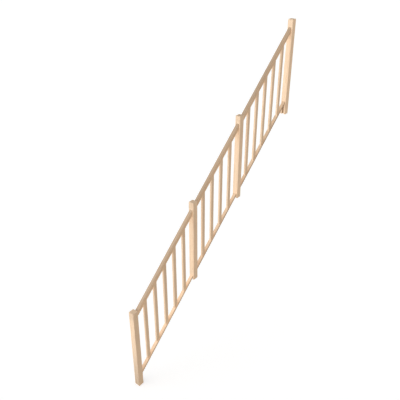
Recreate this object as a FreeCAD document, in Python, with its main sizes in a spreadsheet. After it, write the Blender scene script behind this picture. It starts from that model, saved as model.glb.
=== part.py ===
import FreeCAD, Part
import os
import Sketcher

# A straight timber stair balustrade: square posts, a raked handrail and base rail in each bay, and flat
# balusters between them. Millimetres, +X up the flight, +Z up, origin at the centre of the bottom newel's foot.

DRIVING_SIZES = {
    # Pitch of the flight
    "step_rise": 205,
    "step_going": 225,
    # Posts
    "post_side": 70,
    "post_head": 60,
    "newel_drop": 140,
    "middle_post_drop": 62,
    "post_arris": 3,
    # Slot in each post's foot for the stair string
    "string_thickness": 26,
    "string_clearance": 0.5,
    "newel_slot_depth": 25,
    # Rails, with their depths square to the rake
    "handrail_width": 40,
    "handrail_depth": 50,
    "handrail_arris": 5,
    "base_rail_width": 42,
    "base_rail_depth": 24,
    "base_rail_arris": 3,
    "rail_height": 929,
    "rail_tenon_length": 20,
    "rail_tenon_shoulder": 8,
    # Balusters
    "baluster_width": 45,
    "baluster_depth": 24,
    "baluster_gap": 120,
    "baluster_arris": 2,
    "baluster_tenon_length": 12,
    "baluster_tenon_shoulder": 6,
    "lower_balusters": 5,
    "middle_balusters": 4,
    "upper_balusters": 5,
    # Play round each tenon, and past its end
    "tenon_play": 0.2,
    "tenon_end_play": 1,
}

BAYS = ("lower", "middle", "upper")

UP = FreeCAD.Vector(0, 0, 1)
PARALLEL = 1e-6

# Expressions that several pieces share
SLOPE = "(sizes.step_rise / sizes.step_going)"
UPRIGHT = f"sqrt(1 + {SLOPE} ^ 2)"
HALF_POST = "(sizes.post_side / 2)"
HANDRAIL_UPRIGHT = f"(sizes.handrail_depth * {UPRIGHT})"
BASE_RAIL_UPRIGHT = f"(sizes.base_rail_depth * {UPRIGHT})"
BALUSTER_PITCH = "(sizes.baluster_width + sizes.baluster_gap)"
BALUSTER_LENGTH = f"(sizes.rail_height - {HANDRAIL_UPRIGHT})"

# Height of the base rail's underside above each post's foot, on the post's axis
BOTTOM_NEWEL_SEAT = f"(sizes.newel_drop - {SLOPE} * {HALF_POST})"
TOP_NEWEL_SEAT = f"(sizes.newel_drop + {SLOPE} * {HALF_POST})"
MIDDLE_POST_SEAT = "sizes.middle_post_drop"

doc = FreeCAD.newDocument("stair_balustrade")


def fill_sheet():
    """Puts each driving size in a cell that carries its name."""
    sheet = doc.addObject("Spreadsheet::Sheet", "sizes")
    for row, (alias, value) in enumerate(DRIVING_SIZES.items(), start=1):
        sheet.set(f"A{row}", alias)
        sheet.set(f"B{row}", str(value))
        sheet.setAlias(f"B{row}", alias)
    doc.recompute()
    return sheet


def raked(height, along):
    """Height of a raked line at a distance along the flight, from its height at the start."""
    return f"({height}) + {SLOPE} * ({along})"


def bay_length(bay):
    """Distance between the axes of the posts at the ends of a bay."""
    return f"(sizes.post_side + sizes.baluster_gap + sizes.{bay}_balusters * {BALUSTER_PITCH})"


def new_piece(label, along, height):
    """Starts a sub-part whose own origin is on the mid-plane of the balustrade."""
    body = doc.addObject("PartDesign::Body", label)
    body.Label = label
    body.setExpression("Placement.Base.x", along)
    body.setExpression("Placement.Base.z", height)
    return body


def new_sketch(body):
    """Starts a sketch on the piece's own upright plane, along the flight."""
    sketch = body.newObject("Sketcher::SketchObject", f"{body.Name}_sketch")
    plane = next(feature for feature in body.Origin.OriginFeatures if feature.Role == "XZ_Plane")
    sketch.AttachmentSupport = (plane, [""])
    sketch.MapMode = "FlatFace"
    return sketch


def dimension(sketch, kind, line, expression):
    """Ties the start of a line to the sketch's origin by an expression."""
    value = float(sketch.evalExpression(expression))
    index = sketch.addConstraint(Sketcher.Constraint(kind, -1, 1, line, 1, value))
    sketch.setExpression(f"Constraints[{index}]", expression)


def draw_panel(sketch, near, far):
    """Draws a four-sided panel with upright ends, each end given as along, low and high expressions."""
    corners = [(near[0], near[1]), (far[0], far[1]), (far[0], far[2]), (near[0], near[2])]
    points = [
        FreeCAD.Vector(float(sketch.evalExpression(along)), float(sketch.evalExpression(height)), 0)
        for along, height in corners
    ]
    lines = [
        sketch.addGeometry(Part.LineSegment(start, end), False)
        for start, end in zip(points, points[1:] + points[:1])
    ]
    for line, following in zip(lines, lines[1:] + lines[:1]):
        sketch.addConstraint(Sketcher.Constraint("Coincident", line, 2, following, 1))
    for upright in (lines[1], lines[3]):
        sketch.addConstraint(Sketcher.Constraint("Vertical", upright))
    for line, (_, height) in zip(lines, corners):
        dimension(sketch, "DistanceY", line, height)
    dimension(sketch, "DistanceX", lines[0], near[0])
    dimension(sketch, "DistanceX", lines[1], far[0])
    return lines


def draw_raked_panel(sketch, start, end, underside, upright):
    """Draws a panel whose lower and upper edges follow the rake."""
    ends = []
    for along in (start, end):
        low = raked(underside, along)
        ends.append((along, low, f"{low} + {upright}"))
    return draw_panel(sketch, *ends)


def across(body, kind, sketch, width):
    """Pads or pockets a profile both ways from the mid-plane of the balustrade."""
    before = body.Shape.Volume if body.Tip else 0
    feature = body.newObject(f"PartDesign::{kind}", f"{body.Name}_{kind.lower()}")
    feature.Profile = sketch
    feature.SideType = "Symmetric"
    feature.setExpression("Length", width)
    doc.recompute()
    change = feature.Shape.Volume - before
    if (change > 0) == (kind == "Pocket"):
        raise RuntimeError(f"{body.Label}: a {kind.lower()} changed the volume by {change:.0f}")
    return feature


def arrises(feature, direction):
    """Names the edges of a feature that run along a direction."""
    return [
        f"Edge{number}"
        for number, edge in enumerate(feature.Shape.Edges, start=1)
        if edge.tangentAt(edge.FirstParameter).cross(direction).Length < PARALLEL
    ]


def crown(feature):
    """Names the highest face of a feature."""
    heights = [face.CenterOfMass.z for face in feature.Shape.Faces]
    return f"Face{heights.index(max(heights)) + 1}"


def ease(body, base, names, radius):
    """Rounds the named edges of a feature, and all edges of a named face."""
    fillet = body.newObject("PartDesign::Fillet", f"{body.Name}_arrises")
    fillet.Base = (base, names)
    fillet.setExpression("Radius", radius)
    doc.recompute()


def make_post(label, along, height, seat, faces, slot_ends):
    """A post with tenon mortises in its faces and a slot in its foot that stands over the string."""
    body = new_piece(label, along, height)
    handrail_underside = f"{seat} + {BASE_RAIL_UPRIGHT} + {BALUSTER_LENGTH}"
    top = f"{handrail_underside} + {HANDRAIL_UPRIGHT} + sizes.post_head"

    profile = new_sketch(body)
    draw_panel(profile, (f"-{HALF_POST}", "0", top), (HALF_POST, "0", top))
    shaft = across(body, "Pad", profile, "sizes.post_side")
    ease(body, shaft, arrises(shaft, UP) + [crown(shaft)], "sizes.post_arris")

    slot = new_sketch(body)
    draw_panel(slot, *[(end, "0", raked(seat, end)) for end in slot_ends])
    across(body, "Pocket", slot, "sizes.string_thickness + 2 * sizes.string_clearance")

    depth = "(sizes.rail_tenon_length + sizes.tenon_end_play)"
    spans = {
        "downhill": (f"-{HALF_POST}", f"{depth} - {HALF_POST}"),
        "uphill": (f"{HALF_POST} - {depth}", HALF_POST),
    }
    rails = (("handrail", handrail_underside, HANDRAIL_UPRIGHT), ("base_rail", seat, BASE_RAIL_UPRIGHT))
    margin = "(sizes.rail_tenon_shoulder - sizes.tenon_play)"
    for rail, underside, upright in rails:
        mortises = new_sketch(body)
        for face in faces:
            draw_raked_panel(mortises, *spans[face], f"{underside} + {margin}", f"({upright} - 2 * {margin})")
        across(body, "Pocket", mortises, f"sizes.{rail}_width - 2 * {margin}")
    return body


def make_rail(label, rail, bay, along, height, mortise_side):
    """A raked rail with a tenon at each end and a row of mortises for the balusters of its bay."""
    body = new_piece(label, along, height)
    upright = f"(sizes.{rail}_depth * {UPRIGHT})"
    start = HALF_POST
    end = f"{bay_length(bay)} - {HALF_POST}"

    profile = new_sketch(body)
    draw_raked_panel(profile, start, end, "0", upright)
    length = across(body, "Pad", profile, f"sizes.{rail}_width")
    rake = FreeCAD.Vector(sheet.step_going, 0, sheet.step_rise).normalize()
    ease(body, length, arrises(length, rake), f"sizes.{rail}_arris")

    tenons = new_sketch(body)
    draw_raked_panel(
        tenons,
        f"{start} - sizes.rail_tenon_length",
        f"{end} + sizes.rail_tenon_length",
        "sizes.rail_tenon_shoulder",
        f"({upright} - 2 * sizes.rail_tenon_shoulder)",
    )
    across(body, "Pad", tenons, f"sizes.{rail}_width - 2 * sizes.rail_tenon_shoulder")

    margin = "(sizes.baluster_tenon_shoulder - sizes.tenon_play)"
    depth = "(sizes.baluster_tenon_length + sizes.tenon_end_play)"
    near = f"({HALF_POST} + sizes.baluster_gap + {margin})"
    far = f"({HALF_POST} + sizes.baluster_gap + sizes.baluster_width - {margin})"
    mouth = {"top": f"{upright} - {depth}", "underside": "0"}[mortise_side]
    first = new_sketch(body)
    lines = draw_raked_panel(first, near, far, mouth, depth)
    row = first.addGeometry(first.Geometry[lines[0]], True)
    first.addConstraint(Sketcher.Constraint("Coincident", row, 1, lines[0], 1))
    first.addConstraint(Sketcher.Constraint("Coincident", row, 2, lines[0], 2))
    mortise = across(body, "Pocket", first, f"sizes.baluster_depth - 2 * {margin}")

    pattern = body.newObject("PartDesign::LinearPattern", f"{label}_mortises")
    pattern.Originals = [mortise]
    pattern.Direction = (first, ["Axis0"])
    pattern.Mode = "Spacing"
    pattern.setExpression("Offset", f"{BALUSTER_PITCH} * {UPRIGHT}")
    pattern.setExpression("Occurrences", f"sizes.{bay}_balusters")
    body.Tip = pattern
    doc.recompute()
    return body


def make_baluster(label, along, height):
    """A flat baluster with raked shoulders and a stub tenon at each end."""
    body = new_piece(label, along, height)
    half = "(sizes.baluster_width / 2)"

    profile = new_sketch(body)
    draw_raked_panel(profile, f"-{half}", half, "0", BALUSTER_LENGTH)
    slat = across(body, "Pad", profile, "sizes.baluster_depth")
    ease(body, slat, arrises(slat, UP), "sizes.baluster_arris")

    tenons = new_sketch(body)
    draw_raked_panel(
        tenons,
        f"sizes.baluster_tenon_shoulder - {half}",
        f"{half} - sizes.baluster_tenon_shoulder",
        "-sizes.baluster_tenon_length",
        f"({BALUSTER_LENGTH} + 2 * sizes.baluster_tenon_length)",
    )
    across(body, "Pad", tenons, "sizes.baluster_depth - 2 * sizes.baluster_tenon_shoulder")
    return body


def make_balustrade():
    """Sets out the posts, then fills each bay with its rails and balusters."""
    axes = ["0"]
    for bay in BAYS:
        axes.append(f"({axes[-1]} + {bay_length(bay)})")
    base_underside = [raked(BOTTOM_NEWEL_SEAT, axis) for axis in axes]

    inner_slot = f"({HALF_POST} - sizes.newel_slot_depth)"
    both = ("downhill", "uphill")
    through = (f"-{HALF_POST}", HALF_POST)
    posts = (
        ("bottom_newel_post", BOTTOM_NEWEL_SEAT, ("uphill",), (inner_slot, HALF_POST)),
        ("lower_middle_post", MIDDLE_POST_SEAT, both, through),
        ("upper_middle_post", MIDDLE_POST_SEAT, both, through),
        ("top_newel_post", TOP_NEWEL_SEAT, ("downhill",), (f"-{HALF_POST}", f"-{inner_slot}")),
    )
    pieces = []
    for axis, underside, (label, seat, faces, slot_ends) in zip(axes, base_underside, posts):
        pieces.append(make_post(label, axis, f"{underside} - {seat}", seat, faces, slot_ends))

    for bay, axis, underside in zip(BAYS, axes, base_underside):
        base_top = f"{underside} + {BASE_RAIL_UPRIGHT}"
        handrail_underside = f"{base_top} + {BALUSTER_LENGTH}"
        pieces.append(make_rail(f"{bay}_base_rail", "base_rail", bay, axis, underside, "top"))
        pieces.append(make_rail(f"{bay}_handrail", "handrail", bay, axis, handrail_underside, "underside"))
        for number in range(int(sheet.get(f"{bay}_balusters"))):
            offset = f"({HALF_POST} + {BALUSTER_PITCH} * {number + 1} - sizes.baluster_width / 2)"
            label = f"{bay}_baluster_{number + 1}"
            pieces.append(make_baluster(label, f"{axis} + {offset}", raked(base_top, offset)))
    return pieces


def write_pieces(pieces):
    """Stops at anything that failed, then writes each sub-part to its own file."""
    doc.recompute()
    for feature in doc.Objects:
        if {"Invalid", "Error"} & set(feature.State):
            raise RuntimeError(f"{feature.Label} failed")
    for piece in pieces:
        if piece.Shape.isNull() or not piece.Shape.isValid() or len(piece.Shape.Solids) != 1:
            raise RuntimeError(f"{piece.Label} is not one valid solid")
    os.makedirs("parts", exist_ok=True)
    for piece in pieces:
        piece.Shape.exportStep(f"parts/{piece.Label}.step")


sheet = fill_sheet()
write_pieces(make_balustrade())
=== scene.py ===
import math

import bpy
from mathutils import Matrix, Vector


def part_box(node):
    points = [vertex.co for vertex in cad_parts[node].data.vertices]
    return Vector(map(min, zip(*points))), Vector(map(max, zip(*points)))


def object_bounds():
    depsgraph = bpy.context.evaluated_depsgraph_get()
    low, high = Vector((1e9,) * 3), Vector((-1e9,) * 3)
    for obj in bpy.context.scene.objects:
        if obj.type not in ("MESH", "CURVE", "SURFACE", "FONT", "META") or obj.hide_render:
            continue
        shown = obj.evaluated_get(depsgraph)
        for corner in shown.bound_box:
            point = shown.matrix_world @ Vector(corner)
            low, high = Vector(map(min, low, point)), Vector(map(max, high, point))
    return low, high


bl_info = {
    "name": "Raked Stair Balustrade",
    "version": (1, 0, 0),
    "blender": (4, 5, 0),
    "location": "View3D > Sidebar > Balustrade",
    "description": "Finishes the beech of a raked stair balustrade and sets up its studio",
    "category": "Object",
}

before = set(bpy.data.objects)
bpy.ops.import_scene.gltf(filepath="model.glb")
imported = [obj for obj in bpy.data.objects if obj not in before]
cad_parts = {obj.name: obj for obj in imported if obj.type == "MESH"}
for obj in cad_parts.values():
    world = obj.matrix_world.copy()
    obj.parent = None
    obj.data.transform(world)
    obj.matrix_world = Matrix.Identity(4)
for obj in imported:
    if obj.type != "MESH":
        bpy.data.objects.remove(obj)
CAD_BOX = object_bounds()

POSTS = ["bottom_newel_post", "lower_middle_post", "upper_middle_post", "top_newel_post"]
HANDRAILS = ["lower_handrail", "middle_handrail", "upper_handrail"]
BASE_RAILS = ["lower_base_rail", "middle_base_rail", "upper_base_rail"]
BALUSTERS = sorted(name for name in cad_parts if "_baluster_" in name)
UPRIGHT = (0, 0, 1)
ALONG_FLIGHT = (1, 0, 0)

# Sockets of the Mix node, which has sockets of the same names for numbers and for colours
MIX_FACTOR, NUMBER_A, NUMBER_B, NUMBER_RESULT = 0, 2, 3, 0
COLOUR_A, COLOUR_B, COLOUR_RESULT = 6, 7, 2
# Property in which each board holds the tone of its top: painted light on the base rails, painted shade on
# the handrails, end grain with painted shade on the posts
TOP_TONE = "top_tone"
# The Wave node draws this many radians of ring for each unit of its scale
WAVE_RADIANS = 20
# Noise stays mostly between these two values, so what follows it is spread over this stretch
NOISE_LOW, NOISE_HIGH = 0.3, 0.7

# How far a board lies from the heart of its log, in metres across, across and along the grain:
# the least that it may be, and how much more it may be
HEART_NEAREST, HEART_SPREAD = (0.05, -0.06, 0), (0.09, 0.12, 4.0)
# Rings wander this far sideways, in metres, over this width of wood and this many times as far along it
RING_WANDER, WANDER_WIDTH, WANDER_STRETCH = (0.05, 0.05, 0), 0.08, 8
# Width of the broad pale and dark patches in a board, in metres, and how many times as long they are
CLOUD_WIDTH, CLOUD_STRETCH = 0.11, 4
# How many times as long as wide fibres and flecks are drawn
FIBRE_STRETCH, FLECK_STRETCH = 40, 9
# How unevenly each ring is drawn, with how much detail and at what scale
RING_UNEVENNESS, RING_DETAIL, RING_DETAIL_SCALE = 1.5, 2.0, 0.4
# How strongly rings and flecks colour the wood
RING_DEPTH, FLECK_DEPTH = 0.6, 0.4
# Values of the fleck noise where a fleck starts and where it is full
FLECK_START, FLECK_FULL = 0.62, 0.72
# How far patches and fibres take the tone from its middle, and fibres the roughness
CLOUD_TONE, FIBRE_TONE, FIBRE_GLEAM = 0.05, 0.04, 0.06
# Height of the fibres over the flecks, in metres, more than sanding leaves so that it shows, and its strength
RELIEF_HEIGHT, RELIEF_STRENGTH = 0.0004, 0.3
# Refractive index of oiled wood, and its specular level, half the usual one because sanded grain is dull
OILED_IOR, OILED_SPECULAR = 1.5, 0.25

# Cosines between a face and a direction at which the face starts to count as facing it, and counts fully
FACING_START, FACING_FULL = 0.5, 0.95
# Rays cast to find edges, and to find corners
EDGE_RAYS, CORNER_RAYS = 4, 8
# Cosines between a face and its rounded edge at which rubbing is full, and ends
EDGE_FULL, EDGE_END = 0.8, 0.99
# Shares of open air over a corner at which the painted corner shade is darkest, and ends, and its darkest
# share
CORNER_SHADE_FULL, CORNER_SHADE_END, CORNER_SHADE_DEPTH = 0.3, 0.7, 0.3
# Share of a post's height, below and above the end of the shaded head, over which its painted shade fades in
HEAD_SHADE_FADE = 0.03
# Shares of a post's height between which the slots lie, which leaves out the end grain of head and foot
SLOT_LOW, SLOT_HIGH = 0.002, 0.498
# A mask reaches this far past a face, in metres, so that it takes the face in
FACE_MARGIN = 0.0003
# Change of roughness where the grain is open, where brushes have scrubbed it and where hands have polished it
OPEN_GRAIN, SCRUBBED, POLISHED = 0.3, 0.1, -0.1


def linear(hex_colour):
    """Linear red, green and blue of an sRGB hex colour."""
    channels = [int(hex_colour[i:i + 2], 16) / 255 for i in (1, 3, 5)]
    return [c / 12.92 if c <= 0.04045 else ((c + 0.055) / 1.055) ** 2.4 for c in channels]


def box_centre(name):
    """Middle of a node's box."""
    low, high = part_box(name)
    return (Vector(low) + Vector(high)) / 2


def box_size(name):
    """Length, width and height of a node's box."""
    low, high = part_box(name)
    return Vector(high) - Vector(low)


def rake():
    """Angle of the flight above the level, read from the tops of the two middle posts."""
    lower, upper = POSTS[1:3]
    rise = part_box(upper)[1][2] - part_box(lower)[1][2]
    going = box_centre(upper).x - box_centre(lower).x
    return math.atan2(rise, going)


def above_rake():
    """Direction that the tops of the rails face."""
    return (-math.sin(rake()), 0, math.cos(rake()))


class TimberSettings(bpy.types.PropertyGroup):
    """Colours, grain, wear and painted light and shade of the beech"""

    pale_wood: bpy.props.FloatVectorProperty(
        name="Pale wood",
        description="Colour of the wood grown early in the year",
        subtype="COLOR", min=0, max=1, default=linear("#EED1B2"),
    )
    ring_wood: bpy.props.FloatVectorProperty(
        name="Ring wood",
        description="Colour of the darker wood that ends each year's ring",
        subtype="COLOR", min=0, max=1, default=linear("#DFBB95"),
    )
    fleck_wood: bpy.props.FloatVectorProperty(
        name="Flecks",
        description="Colour of the short ray flecks that mark beech",
        subtype="COLOR", min=0, max=1, default=linear("#B98C62"),
    )
    # Painted shade: this colour darkens the corners, by how little open air reaches them
    corner_shade_colour: bpy.props.FloatVectorProperty(
        name="Grime",
        description="Colour of the dust and old oil in corners",
        subtype="COLOR", min=0, max=1, default=linear("#8F6B48"),
    )
    ring_width: bpy.props.FloatProperty(
        name="Ring width",
        description="Real width of one year's ring",
        unit="LENGTH", min=0.0005, default=0.003,
    )
    fibre_width: bpy.props.FloatProperty(
        name="Fibre width",
        description="Real width of one streak of fibres",
        unit="LENGTH", min=0.0001, default=0.0013,
    )
    fleck_width: bpy.props.FloatProperty(
        name="Fleck width",
        description="Real width of one ray fleck",
        unit="LENGTH", min=0.0001, default=0.0005,
    )
    coarseness: bpy.props.FloatProperty(
        name="Coarseness",
        description="How many times their real width rings, fibres and flecks are drawn, so that they show",
        min=1, default=3,
    )
    # How far the painted corner shade spreads out of a corner
    corner_reach: bpy.props.FloatProperty(
        name="Corner reach",
        description="How far grime spreads out of a corner",
        unit="LENGTH", min=0.001, default=0.012,
    )
    edge_reach: bpy.props.FloatProperty(
        name="Edge reach",
        description="How far rubbing reaches in from an edge",
        unit="LENGTH", min=0.001, default=0.005,
    )
    # Painted shade: the length of each post's head that is darkened
    shaded_head_length: bpy.props.FloatProperty(
        name="Held length",
        description="Length of a post's head that hands take hold of",
        unit="LENGTH", min=0.01, default=0.1,
    )
    # Painted shade: height up to which the bottom newel is darkened towards the floor
    foot_shade_height: bpy.props.FloatProperty(
        name="Scuffed height",
        description="Height above the floor up to which shoes and mops darken the bottom newel",
        unit="LENGTH", min=0.01, default=0.75,
    )
    slot_width: bpy.props.FloatProperty(
        name="Slot width",
        description="Width of the sawn slots in the feet of the posts",
        unit="LENGTH", min=0.001, default=0.027,
    )
    roughness: bpy.props.FloatProperty(
        name="Roughness",
        description="Roughness of the oiled face",
        subtype="FACTOR", min=0.1, max=0.9, default=0.5,
    )
    edge_tone: bpy.props.FloatProperty(
        name="Edge tone",
        description="Tone of rubbed edges against the face beside them",
        min=0.5, max=1.5, default=1.06,
    )
    # Painted shade: the tone of the heads, on the faces that look along the flight
    head_shade_tone: bpy.props.FloatProperty(
        name="Held tone",
        description="Tone of the heads that hands take hold of",
        min=0.5, max=1.5, default=0.87,
    )
    # Painted shade: the tone of the bottom newel at the floor, on the faces that look along the flight
    foot_shade_tone: bpy.props.FloatProperty(
        name="Scuffed tone",
        description="Tone of the bottom newel at the floor",
        min=0.5, max=1.5, default=0.64,
    )
    # Painted shade: the tone that darkens the inside of the sawn slots
    slot_shade_tone: bpy.props.FloatProperty(
        name="Slot tone",
        description="Tone inside the sawn slots, which hold dust",
        min=0.5, max=1.5, default=0.65,
    )
    # Painted light: the posts are paler further up the flight
    post_tones_and_light: bpy.props.FloatVectorProperty(
        name="Post tones",
        description="Tone of each post, from the foot of the flight up",
        size=4, min=0.5, max=1.2, default=(1.01, 1.04, 1.07, 1.13),
    )
    # End grain and painted shade: the post tops are painted darker further up the flight
    end_grain_and_shade_tones: bpy.props.FloatVectorProperty(
        name="End grain tones",
        description="Tone of each post's ends, which took up more oil, against its faces",
        size=4, min=0.5, max=1.5, default=(1.0, 0.84, 0.75, 0.74),
    )
    rail_tint: bpy.props.FloatVectorProperty(
        name="Rail tint",
        description="Tint of the rails, which handling and old oil have yellowed a little",
        subtype="COLOR", min=0, max=1, default=linear("#FFFAF5"),
    )
    handrail_tones: bpy.props.FloatVectorProperty(
        name="Handrail tones",
        description="Tone of each handrail length, from the foot of the flight up",
        size=3, min=0.5, max=1.2, default=(0.99, 0.96, 0.96),
    )
    # Painted shade: the handrail tops are darker, more so further up the flight
    handrail_top_shade_tones: bpy.props.FloatVectorProperty(
        name="Handrail top tones",
        description="Tone of each handrail length's top, darkened by hands, against its sides",
        size=3, min=0.5, max=1.5, default=(0.65, 0.62, 0.56),
    )
    # Painted shade: the base rails are darker further up the flight
    base_rail_tones_and_shade: bpy.props.FloatVectorProperty(
        name="Base rail tones",
        description="Tone of each base rail length, from the foot of the flight up",
        size=3, min=0.5, max=1.2, default=(0.89, 0.77, 0.70),
    )
    # Painted light: the base rail tops are paler
    base_rail_top_light_tones: bpy.props.FloatVectorProperty(
        name="Base rail top tones",
        description="Tone of each base rail length's top, scrubbed pale by brushes, against its sides",
        size=3, min=0.5, max=1.5, default=(1.35, 1.28, 1.24),
    )
    baluster_tone: bpy.props.FloatProperty(
        name="Baluster tone",
        description="Tone of the balusters",
        min=0.5, max=1.2, default=0.99,
    )


class StudioSettings(bpy.types.PropertyGroup):
    """Camera, floor and light"""

    camera_place: bpy.props.FloatVectorProperty(
        name="Camera place",
        description="Where the camera stands, from the foot of the bottom newel post",
        subtype="TRANSLATION", unit="LENGTH", default=(-2.7134, -3.1727, 4.9421),
    )
    camera_bearing: bpy.props.FloatProperty(
        name="Camera bearing",
        description="Turn of the view from straight across the flight towards its top",
        subtype="ANGLE", default=math.radians(50.526),
    )
    camera_dip: bpy.props.FloatProperty(
        name="Camera dip",
        description="How far the view looks down from the level",
        subtype="ANGLE", default=math.radians(30.356),
    )
    camera_lens: bpy.props.FloatProperty(
        name="Lens",
        description="Focal length of the camera",
        unit="CAMERA", min=1, default=45.47,
    )
    sky_strength: bpy.props.FloatProperty(
        name="Sky light",
        description="Strength of the even light from all round",
        min=0, default=0.555,
    )
    key_strength: bpy.props.FloatProperty(
        name="Key light",
        description="Strength at the middle of the wide soft glow, low beyond the foot of the flight",
        min=0, default=2.25,
    )
    key_colour: bpy.props.FloatVectorProperty(
        name="Key colour",
        description="Colour of the key light, a little cooler than the light that the floor sends back",
        subtype="COLOR", min=0, max=1, default=linear("#EAF4FF"),
    )
    key_bearing: bpy.props.FloatProperty(
        name="Key bearing",
        description="Turn of the key light from straight along the flight towards its far side",
        subtype="ANGLE", default=math.radians(27),
    )
    key_height: bpy.props.FloatProperty(
        name="Key height",
        description="Height of the key light's middle above the level: below it, the floor hides that part",
        subtype="ANGLE", default=math.radians(-10),
    )
    key_spread: bpy.props.FloatProperty(
        name="Key spread",
        description="Angle from the key light's middle to where its glow ends",
        subtype="ANGLE", default=math.radians(62),
    )
    fill_strength: bpy.props.FloatProperty(
        name="Fill light",
        description="Strength of the fill lamp beside the key light, which softens the shadows of the key",
        min=0, default=1.22,
    )
    fill_height: bpy.props.FloatProperty(
        name="Fill height",
        description="Height of the fill lamp above the level",
        subtype="ANGLE", default=math.radians(16),
    )
    fill_spread: bpy.props.FloatProperty(
        name="Fill spread",
        description="Angle that the fill lamp takes up, seen from the balustrade",
        subtype="ANGLE", default=math.radians(60),
    )
    floor_colour: bpy.props.FloatVectorProperty(
        name="Floor colour",
        description="Colour of the floor, which warms the light from below",
        subtype="COLOR", min=0, max=1, default=linear("#EEE4D6"),
    )
    floor_glow: bpy.props.FloatVectorProperty(
        name="Floor glow",
        description="Light that the camera sees the floor give, which just brings the lit floor up to white",
        subtype="COLOR", min=0, max=1, default=linear("#A7B0BB"),
    )
    floor_reach: bpy.props.FloatProperty(
        name="Floor reach",
        description="Distance from the balustrade to the edge of the floor",
        unit="LENGTH", min=1, default=60,
    )


def add(tree, kind, inputs=None, **settings):
    """Adds a node with its settings, and links each input that is a socket or sets it to the value given."""
    node = tree.nodes.new("ShaderNode" + kind)
    for key, value in settings.items():
        setattr(node, key, value)
    for key, value in (inputs or {}).items():
        if isinstance(value, bpy.types.NodeSocket):
            tree.links.new(value, node.inputs[key])
        else:
            node.inputs[key].default_value = value
    return node


def empty_material(name):
    """A material whose node tree is still empty."""
    material = bpy.data.materials.new(name)
    material.use_nodes = True
    material.node_tree.nodes.clear()
    return material


def upright_place(tree, name):
    """Place in an upright board like the named one, in metres from its middle line, grain along Z."""
    surface = add(tree, "TexCoord")
    size = box_size(name)
    middle = add(
        tree, "VectorMath", {0: surface.outputs["Generated"], 1: (0.5, 0.5, 0.5)}, operation="SUBTRACT",
    )
    across = add(tree, "VectorMath", {0: middle.outputs[0], 1: (size.x, size.y, 0)}, operation="MULTIPLY")
    along = add(
        tree, "VectorMath", {0: surface.outputs["Object"], 1: UPRIGHT, 2: across.outputs[0]},
        operation="MULTIPLY_ADD",
    )
    return along.outputs[0]


def raked_place(tree, name):
    """Place in a rail in line with the named one, in metres from its middle line, grain along Z."""
    surface = add(tree, "TexCoord")
    turned = add(
        tree, "Mapping",
        {
            "Vector": surface.outputs["Object"],
            "Location": box_centre(name),
            "Rotation": (0, math.pi / 2 - rake(), 0),
        },
        vector_type="TEXTURE",
    )
    return turned.outputs[0]


def log_place(tree, place):
    """Place in the log that a board was sawn from. Each board has its own, with the heart outside it."""
    board = add(tree, "ObjectInfo")
    draw = add(tree, "TexWhiteNoise", {"W": board.outputs["Random"]}, noise_dimensions="1D")
    heart = add(
        tree, "VectorMath", {0: draw.outputs["Color"], 1: HEART_SPREAD, 2: HEART_NEAREST},
        operation="MULTIPLY_ADD",
    )
    return add(tree, "VectorMath", {0: place, 1: heart.outputs[0]}, operation="ADD").outputs[0]


def streaks(tree, place, width, stretch, detail):
    """Noise in streaks of a given width in metres, stretched along the grain."""
    cell = 1 / width
    cells = add(tree, "VectorMath", {0: place, 1: (cell, cell, cell / stretch)}, operation="MULTIPLY")
    return add(tree, "TexNoise", {"Vector": cells.outputs[0], "Scale": 1.0, "Detail": detail})


def varied(tree, noise, middle, reach):
    """A value that follows noise, as far below and above its middle as its reach says."""
    value = add(
        tree, "MapRange",
        {
            "Value": noise, "From Min": NOISE_LOW, "From Max": NOISE_HIGH,
            "To Min": middle - reach, "To Max": middle + reach,
        },
    )
    return value.outputs[0]


def ring_share(tree, place, timber):
    """How dark each place in its year's ring is. Rings wander, which opens them into long arches."""
    wander = streaks(tree, place, WANDER_WIDTH, WANDER_STRETCH, detail=1.0)
    bent = add(
        tree, "VectorMath", {0: wander.outputs["Color"], 1: RING_WANDER, 2: place}, operation="MULTIPLY_ADD",
    )
    # Beech has rings about 3 mm wide, drawn coarser than life because real ones would not show
    drawn_width = timber.ring_width * timber.coarseness
    rings = add(
        tree, "TexWave",
        {
            "Vector": bent.outputs[0],
            "Scale": 2 * math.pi / (WAVE_RADIANS * drawn_width),
            "Distortion": RING_UNEVENNESS,
            "Detail": RING_DETAIL,
            "Detail Scale": RING_DETAIL_SCALE,
        },
        wave_type="RINGS", rings_direction="Z", wave_profile="SAW",
    )
    return add(tree, "Math", {0: rings.outputs["Fac"], 1: RING_DEPTH}, operation="MULTIPLY").outputs[0]


def fleck_share(tree, place, timber):
    """How much of a ray fleck shows at each place."""
    # Ray flecks are about 0.5 mm wide, drawn coarser than life because real ones would not show
    ray = streaks(tree, place, timber.fleck_width * timber.coarseness, FLECK_STRETCH, detail=1.0)
    fleck = add(
        tree, "MapRange",
        {
            "Value": ray.outputs["Fac"], "From Min": FLECK_START, "From Max": FLECK_FULL,
            "To Min": 0.0, "To Max": FLECK_DEPTH,
        },
        interpolation_type="SMOOTHSTEP",
    )
    return fleck.outputs[0]


def facing_share(tree, direction, both_ways=False):
    """1 on the faces that look along a direction, or against it too, and 0 on the others."""
    surface = add(tree, "NewGeometry")
    facing = add(
        tree, "VectorMath", {0: surface.outputs["Normal"], 1: direction}, operation="DOT_PRODUCT",
    ).outputs["Value"]
    if both_ways:
        facing = add(tree, "Math", {0: facing}, operation="ABSOLUTE").outputs[0]
    share = add(
        tree, "MapRange", {"Value": facing, "From Min": FACING_START, "From Max": FACING_FULL},
        interpolation_type="SMOOTHSTEP",
    )
    return share.outputs[0]


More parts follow.
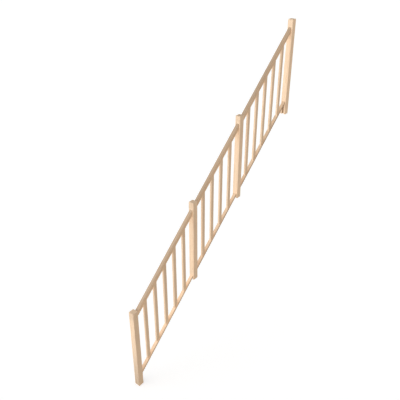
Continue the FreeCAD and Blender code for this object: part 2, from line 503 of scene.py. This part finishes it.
def edge_share(tree, timber):
    """1 along the edges, where handling has rubbed the oil off, and 0 on the faces."""
    surface = add(tree, "NewGeometry")
    rounded = add(tree, "Bevel", {"Radius": timber.edge_reach}, samples=EDGE_RAYS)
    flat = add(
        tree, "VectorMath", {0: rounded.outputs["Normal"], 1: surface.outputs["Normal"]},
        operation="DOT_PRODUCT",
    )
    share = add(
        tree, "MapRange",
        {
            "Value": flat.outputs["Value"], "From Min": EDGE_FULL, "From Max": EDGE_END,
            "To Min": 1.0, "To Max": 0.0,
        },
    )
    return share.outputs[0]


def painted_corner_shade(tree, timber):
    """How thick the painted shade lies in the corners, where little open air reaches."""
    air = add(tree, "AmbientOcclusion", {"Distance": timber.corner_reach}, samples=CORNER_RAYS)
    share = add(
        tree, "MapRange",
        {
            "Value": air.outputs["AO"], "From Min": CORNER_SHADE_FULL, "From Max": CORNER_SHADE_END,
            "To Min": CORNER_SHADE_DEPTH, "To Max": 0.0,
        },
    )
    return share.outputs[0]


def head_shade_share(tree, timber):
    """1 on the heads of the posts, on the faces that look along the flight, where shade is painted."""
    surface = add(tree, "TexCoord")
    height = add(tree, "SeparateXYZ", {0: surface.outputs["Generated"]})
    head = 1 - timber.shaded_head_length / box_size(POSTS[0]).z
    # Painted shade on the heads
    hands = add(
        tree, "MapRange",
        {"Value": height.outputs["Z"], "From Min": head - HEAD_SHADE_FADE, "From Max": head + HEAD_SHADE_FADE},
        interpolation_type="SMOOTHSTEP",
    )
    faces = facing_share(tree, ALONG_FLIGHT, both_ways=True)
    return add(tree, "Math", {0: hands.outputs[0], 1: faces}, operation="MULTIPLY").outputs[0]


def foot_shade_share(tree, timber):
    """1 at the floor, on the faces of the bottom newel that look along the flight, where shade is painted."""
    surface = add(tree, "TexCoord")
    height = add(tree, "SeparateXYZ", {0: surface.outputs["Object"]})
    # Painted shade, darker towards the floor
    shoes = add(
        tree, "MapRange",
        {"Value": height.outputs["Z"], "From Max": timber.foot_shade_height, "To Min": 1.0, "To Max": 0.0},
        interpolation_type="SMOOTHSTEP",
    )
    faces = facing_share(tree, ALONG_FLIGHT, both_ways=True)
    return add(tree, "Math", {0: shoes.outputs[0], 1: faces}, operation="MULTIPLY").outputs[0]


def slot_shade_share(tree, place, timber):
    """1 inside the sawn slots that seat the string, where shade is painted, and 0 outside."""
    surface = add(tree, "TexCoord")
    across = add(tree, "SeparateXYZ", {0: place})
    height = add(tree, "SeparateXYZ", {0: surface.outputs["Generated"]})
    limits = (
        (across.outputs["X"], 0, box_size(POSTS[0]).x / 2 - FACE_MARGIN),
        (across.outputs["Y"], 0, timber.slot_width / 2 + FACE_MARGIN),
        (height.outputs["Z"], (SLOT_HIGH + SLOT_LOW) / 2, (SLOT_HIGH - SLOT_LOW) / 2),
    )
    share = 1.0
    for value, middle, reach in limits:
        inside = add(tree, "Math", {0: value, 1: middle, 2: reach}, operation="COMPARE")
        share = add(tree, "Math", {0: inside.outputs[0], 1: share}, operation="MULTIPLY").outputs[0]
    return share


def top_tone(tree):
    """Tone of a board's own top, painted lighter or darker for light and shade."""
    return add(tree, "Attribute", attribute_type="OBJECT", attribute_name=TOP_TONE).outputs["Fac"]


def layered(tree, colour, layers):
    """Lays colours over a first one, each by its share."""
    for share, layer in layers:
        mix = add(
            tree, "Mix", {MIX_FACTOR: share, COLOUR_A: colour, COLOUR_B: [*layer, 1]}, data_type="RGBA",
        )
        colour = mix.outputs[COLOUR_RESULT]
    return colour


def finish_beech(tree, timber, place, marks):
    """Beech, planed, sanded and oiled. Each mark, of wear or of painted light and shade, is a share, a tone
    and a change of roughness.
    """
    # To the eye: an even pale pinkish tone and a dull gleam from afar, with soft rings, straight fibres,
    # short brown flecks, paler edges and painted shade in the corners close by
    in_log = log_place(tree, place)
    cloud = streaks(tree, in_log, CLOUD_WIDTH, CLOUD_STRETCH, detail=2.0).outputs["Fac"]
    # Fibres lie in streaks about 1 mm wide, drawn coarser than life because real ones would not show
    fibre_width = timber.fibre_width * timber.coarseness
    fibre = streaks(tree, in_log, fibre_width, FIBRE_STRETCH, detail=3.0).outputs["Fac"]
    fleck = fleck_share(tree, in_log, timber)
    wood = layered(
        tree, [*timber.pale_wood, 1],
        [(ring_share(tree, in_log, timber), timber.ring_wood), (fleck, timber.fleck_wood)],
    )

    tones = [varied(tree, cloud, 1, CLOUD_TONE), varied(tree, fibre, 1, FIBRE_TONE)]
    roughness = varied(tree, fibre, timber.roughness, FIBRE_GLEAM)
    for share, tone, change in [(edge_share(tree, timber), timber.edge_tone, POLISHED), *marks]:
        marked = add(tree, "Mix", {MIX_FACTOR: share, NUMBER_A: 1.0, NUMBER_B: tone})
        tones.append(marked.outputs[NUMBER_RESULT])
        changed = add(tree, "Math", {0: share, 1: change, 2: roughness}, operation="MULTIPLY_ADD")
        roughness = changed.outputs[0]
    toned = wood
    for tone in tones:
        toned = add(tree, "HueSaturation", {"Value": tone, "Color": toned}).outputs[0]
    board = add(tree, "ObjectInfo")
    own_tone = add(
        tree, "Mix", {MIX_FACTOR: 1.0, COLOUR_A: toned, COLOUR_B: board.outputs["Color"]},
        data_type="RGBA", blend_type="MULTIPLY",
    )
    # Painted shade in the corners, by how little open air reaches them
    corner_shaded = layered(tree, own_tone.outputs[COLOUR_RESULT], [(painted_corner_shade(tree, timber), timber.corner_shade_colour)])

    # Sanding leaves the fibres a hair proud of the flecks
    height = add(tree, "Math", {0: fibre, 1: fleck}, operation="SUBTRACT")
    relief = add(
        tree, "Bump", {"Strength": RELIEF_STRENGTH, "Distance": RELIEF_HEIGHT, "Height": height.outputs[0]},
    )
    shader = add(
        tree, "BsdfPrincipled",
        {
            "Base Color": corner_shaded,
            "Roughness": roughness,
            "Normal": relief.outputs[0],
            "IOR": OILED_IOR,
            "Specular IOR Level": OILED_SPECULAR,
        },
    )
    add(tree, "OutputMaterial", {"Surface": shader.outputs[0]})


def oiled_beech_posts(timber):
    """Beech of the posts, planed square and oiled, with sawn slots in the feet."""
    # To the eye: browner, matt end grain on top with painted shade that deepens up the flight, painted shade
    # on the heads and at the foot of the bottom newel on the faces along the flight, and painted shade in the
    # slots
    material = empty_material("oiled_beech_posts")
    tree = material.node_tree
    place = upright_place(tree, POSTS[0])
    marks = [
        # End grain with painted shade on the post tops
        (facing_share(tree, UPRIGHT, both_ways=True), top_tone(tree), OPEN_GRAIN),
        # Painted shade on the heads
        (head_shade_share(tree, timber), timber.head_shade_tone, POLISHED),
        # Painted shade at the foot of the bottom newel
        (foot_shade_share(tree, timber), timber.foot_shade_tone, SCRUBBED),
        # Painted shade inside the slots
        (slot_shade_share(tree, place, timber), timber.slot_shade_tone, OPEN_GRAIN),
    ]
    finish_beech(tree, timber, place, marks)
    return material


def hand_polished_beech_with_painted_shade(timber):
    """Beech of the handrail, planed and oiled, then polished by years of hands, with painted shade on its
    top.
    """
    # To the eye: a top darkened by painted shade, and smoother, between paler sides
    material = empty_material("hand_polished_beech_with_painted_shade")
    tree = material.node_tree
    # Painted shade on the top
    marks = [(facing_share(tree, above_rake()), top_tone(tree), POLISHED)]
    finish_beech(tree, timber, raked_place(tree, HANDRAILS[0]), marks)
    return material


def scrubbed_beech_with_painted_light(timber):
    """Beech of the base rail, planed and oiled, then scrubbed by brushes and soles, with painted light on its
    top.
    """
    # To the eye: a top made paler by painted light, and duller, over darker sides
    material = empty_material("scrubbed_beech_base_rails")
    tree = material.node_tree
    # Painted light on the top
    marks = [(facing_share(tree, above_rake()), top_tone(tree), SCRUBBED)]
    finish_beech(tree, timber, raked_place(tree, BASE_RAILS[0]), marks)
    return material


def oiled_beech_balusters(timber):
    """Beech of the balusters, planed into flat strips and oiled."""
    # To the eye: clean even strips, with little wear but their rubbed edges
    material = empty_material("oiled_beech_balusters")
    tree = material.node_tree
    finish_beech(tree, timber, upright_place(tree, BALUSTERS[0]), [])
    return material


def dress(names, material, tones, top_tones, tint=(1, 1, 1)):
    """Gives boards their material, each its own tone of it and the tone of its own top; on posts and rails
    these tones hold painted light and shade.
    """
    for name, tone, top in zip(names, tones, top_tones, strict=True):
        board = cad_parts[name]
        board.data.materials.clear()
        board.data.materials.append(material)
        board.color = [*(tone * channel for channel in tint), 1]
        board[TOP_TONE] = top


def seen_directly(tree):
    """1 where a thing is seen, straight, mirrored or through glass, and 0 where it only gives light."""
    path = add(tree, "LightPath")
    seen = path.outputs["Is Camera Ray"]
    for way in ("Is Glossy Ray", "Is Transmission Ray"):
        seen = add(tree, "Math", {0: seen, 1: path.outputs[way]}, operation="MAXIMUM").outputs[0]
    return seen


def place_in(scene, data, name):
    """Puts a new object into the scene."""
    thing = bpy.data.objects.new(name, data)
    scene.collection.objects.link(thing)
    return thing


def light_direction(bearing, height):
    """Direction in which a light lies, from its bearing beyond the foot of the flight and its height."""
    level = math.cos(height)
    return Vector((-math.cos(bearing) * level, math.sin(bearing) * level, math.sin(height)))


def make_sky(scene, studio):
    """Even light from all round, a wide soft key beyond the foot of the flight, and white where seen."""
    world = bpy.data.worlds.new("studio_sky")
    scene.world = world
    world.use_nodes = True
    tree = world.node_tree
    tree.nodes.clear()
    seen = seen_directly(tree)
    even = add(tree, "MapRange", {"Value": seen, "To Min": studio.sky_strength, "To Max": 1.0})
    sky = add(tree, "Background", {"Color": (1, 1, 1, 1), "Strength": even.outputs[0]})
    place = add(tree, "TexCoord")
    key_middle = light_direction(studio.key_bearing, studio.key_height)
    nearness = add(
        tree, "VectorMath", {0: place.outputs["Generated"], 1: key_middle}, operation="DOT_PRODUCT",
    )
    glow = add(
        tree, "MapRange",
        {
            "Value": nearness.outputs["Value"], "From Min": math.cos(studio.key_spread), "From Max": 1.0,
            "To Min": 0.0, "To Max": studio.key_strength,
        },
        interpolation_type="SMOOTHSTEP",
    )
    unseen = add(tree, "Math", {0: 1.0, 1: seen}, operation="SUBTRACT")
    strength = add(tree, "Math", {0: glow.outputs[0], 1: unseen.outputs[0]}, operation="MULTIPLY")
    key = add(tree, "Background", {"Color": [*studio.key_colour, 1], "Strength": strength.outputs[0]})
    both = add(tree, "AddShader", {0: sky.outputs[0], 1: key.outputs[0]})
    add(tree, "OutputWorld", {"Surface": both.outputs[0]})


def make_fill(scene, studio):
    """A wide fill lamp beside the key light. It casts no shadow, so it softens the shadows of the key."""
    lamp = bpy.data.lights.new("fill_lamp", "SUN")
    lamp.energy = studio.fill_strength
    lamp.color = studio.key_colour
    lamp.angle = studio.fill_spread
    lamp.use_shadow = False
    fill = place_in(scene, lamp, "fill_lamp")
    direction = light_direction(studio.key_bearing, studio.fill_height)
    fill.rotation_euler = direction.to_track_quat("Z", "Y").to_euler()


def matt_paper(studio):
    """Warm white backdrop paper, uncoated."""
    # To the eye: dead matt, white where it is lit, through a glow that only the eye sees, grey in shadow
    material = empty_material("matt_backdrop_paper")
    tree = material.node_tree
    lit = add(tree, "BsdfDiffuse", {"Color": [*studio.floor_colour, 1]})
    glow = add(tree, "Emission", {"Color": [*studio.floor_glow, 1], "Strength": seen_directly(tree)})
    both = add(tree, "AddShader", {0: lit.outputs[0], 1: glow.outputs[0]})
    add(tree, "OutputMaterial", {"Surface": both.outputs[0]})
    return material


def make_floor(scene, studio):
    """A wide level floor at the foot of the bottom newel post."""
    reach, ground = studio.floor_reach, CAD_BOX[0][2]
    corners = [(x * reach, y * reach, ground) for x, y in ((-1, -1), (1, -1), (1, 1), (-1, 1))]
    mesh = bpy.data.meshes.new("studio_floor")
    mesh.from_pydata(corners, [], [(0, 1, 2, 3)])
    mesh.materials.append(matt_paper(studio))
    place_in(scene, mesh, "studio_floor")


def make_camera(scene, studio):
    """The photograph's view."""
    lens = bpy.data.cameras.new("camera")
    lens.lens = studio.camera_lens
    camera = place_in(scene, lens, "camera")
    camera.location = studio.camera_place
    camera.rotation_euler = (math.pi / 2 - studio.camera_dip, 0, -studio.camera_bearing)
    scene.camera = camera


class BALUSTRADE_OT_finish_posts(bpy.types.Operator):
    """Finish the four posts"""

    bl_idname = "balustrade.finish_posts"
    bl_label = "Finish Posts"

    def execute(self, context):
        timber = context.scene.balustrade_timber
        dress(POSTS, oiled_beech_posts(timber), timber.post_tones_and_light, timber.end_grain_and_shade_tones)
        return {"FINISHED"}


class BALUSTRADE_OT_finish_handrails(bpy.types.Operator):
    """Finish the three handrail lengths"""

    bl_idname = "balustrade.finish_handrails"
    bl_label = "Finish Handrails"

    def execute(self, context):
        timber = context.scene.balustrade_timber
        tones = timber.handrail_tones, timber.handrail_top_shade_tones
        dress(HANDRAILS, hand_polished_beech_with_painted_shade(timber), *tones, timber.rail_tint)
        return {"FINISHED"}


class BALUSTRADE_OT_finish_base_rails(bpy.types.Operator):
    """Finish the three base rail lengths"""

    bl_idname = "balustrade.finish_base_rails"
    bl_label = "Finish Base Rails"

    def execute(self, context):
        timber = context.scene.balustrade_timber
        tones = timber.base_rail_tones_and_shade, timber.base_rail_top_light_tones
        dress(BASE_RAILS, scrubbed_beech_with_painted_light(timber), *tones, timber.rail_tint)
        return {"FINISHED"}


class BALUSTRADE_OT_finish_balusters(bpy.types.Operator):
    """Finish the flat balusters"""

    bl_idname = "balustrade.finish_balusters"
    bl_label = "Finish Balusters"

    def execute(self, context):
        timber = context.scene.balustrade_timber
        tones = [timber.baluster_tone] * len(BALUSTERS), [1] * len(BALUSTERS)
        dress(BALUSTERS, oiled_beech_balusters(timber), *tones)
        return {"FINISHED"}


class BALUSTRADE_OT_build_studio(bpy.types.Operator):
    """Build the sky and its key light, the fill lamp, the floor and the camera"""

    bl_idname = "balustrade.build_studio"
    bl_label = "Build Studio"

    def execute(self, context):
        scene = context.scene
        scene.view_settings.view_transform = "Standard"
        for make in (make_sky, make_fill, make_floor, make_camera):
            make(scene, scene.balustrade_studio)
        return {"FINISHED"}


OPERATORS = [
    BALUSTRADE_OT_finish_posts,
    BALUSTRADE_OT_finish_handrails,
    BALUSTRADE_OT_finish_base_rails,
    BALUSTRADE_OT_finish_balusters,
    BALUSTRADE_OT_build_studio,
]


class BALUSTRADE_PT_steps(bpy.types.Panel):
    """Lists the settings of the balustrade and the steps that finish it"""

    bl_idname = "BALUSTRADE_PT_steps"
    bl_label = "Balustrade"
    bl_space_type = "VIEW_3D"
    bl_region_type = "UI"
    bl_category = "Balustrade"

    def draw(self, context):
        scene = context.scene
        for settings in (scene.balustrade_timber, scene.balustrade_studio):
            for name in settings.__annotations__:
                self.layout.prop(settings, name)
        for operator in OPERATORS:
            self.layout.operator(operator.bl_idname)


CLASSES = [TimberSettings, StudioSettings, *OPERATORS, BALUSTRADE_PT_steps]


def register():
    """Adds the settings, the steps and their panel."""
    for kind in CLASSES:
        bpy.utils.register_class(kind)
    bpy.types.Scene.balustrade_timber = bpy.props.PointerProperty(type=TimberSettings)
    bpy.types.Scene.balustrade_studio = bpy.props.PointerProperty(type=StudioSettings)


def unregister():
    """Takes away what register added."""
    del bpy.types.Scene.balustrade_studio
    del bpy.types.Scene.balustrade_timber
    for kind in reversed(CLASSES):
        bpy.utils.unregister_class(kind)


def main():
    """Runs every step in order."""
    register()
    for operator in OPERATORS:
        group, step = operator.bl_idname.split(".")
        getattr(getattr(bpy.ops, group), step)()


if __name__ == "__main__":
    main()
